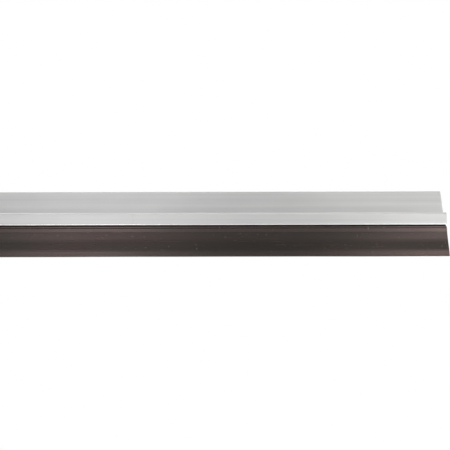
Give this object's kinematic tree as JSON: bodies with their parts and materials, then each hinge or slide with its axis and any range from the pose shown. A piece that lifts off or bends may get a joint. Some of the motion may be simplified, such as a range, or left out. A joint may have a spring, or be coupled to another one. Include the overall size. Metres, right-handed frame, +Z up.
{
  "type": "door sweep",
  "caption": "Face-mounted door sweep: aluminium strip with a lower channel that holds a hanging dark rubber blade, stuck to the door by tape.",
  "frame": {"origin": "middle of the tape's back face, which sticks to the door, so the door's face is the plane y = 0", "axes": "+X along the strip, +Y into the door, +Z up the door; the aluminium face looks along -Y and the blade hangs towards -Z"},
  "size_m": [0.914, 0.0083, 0.0473],
  "materials": {
    "anodised_aluminium": "satin",
    "dark_rubber": "satin",
    "foam_tape": "matte"
  },
  "bodies": {
    "carrier": {"carrier_flange": "anodised_aluminium", "carrier_roof": "anodised_aluminium", "carrier_face": "anodised_aluminium", "mounting_tape": "foam_tape"},
    "insert": {"insert_root": "dark_rubber"},
    "blade": {"blade": "dark_rubber"}
  },
  "joints": [
    {"name": "insert_slide", "type": "slide", "parent": "carrier", "child": "insert", "axis": [1, 0, 0], "range_m": [-0.92, 0.92]},
    {"name": "blade_flex", "type": "hinge", "parent": "insert", "child": "blade", "pos_m": [0, -0.0044, -0.0197], "axis": [-1, 0, 0], "range_deg": [-40, 60], "stiffness_Nm_per_rad": 0.25}
  ]
}
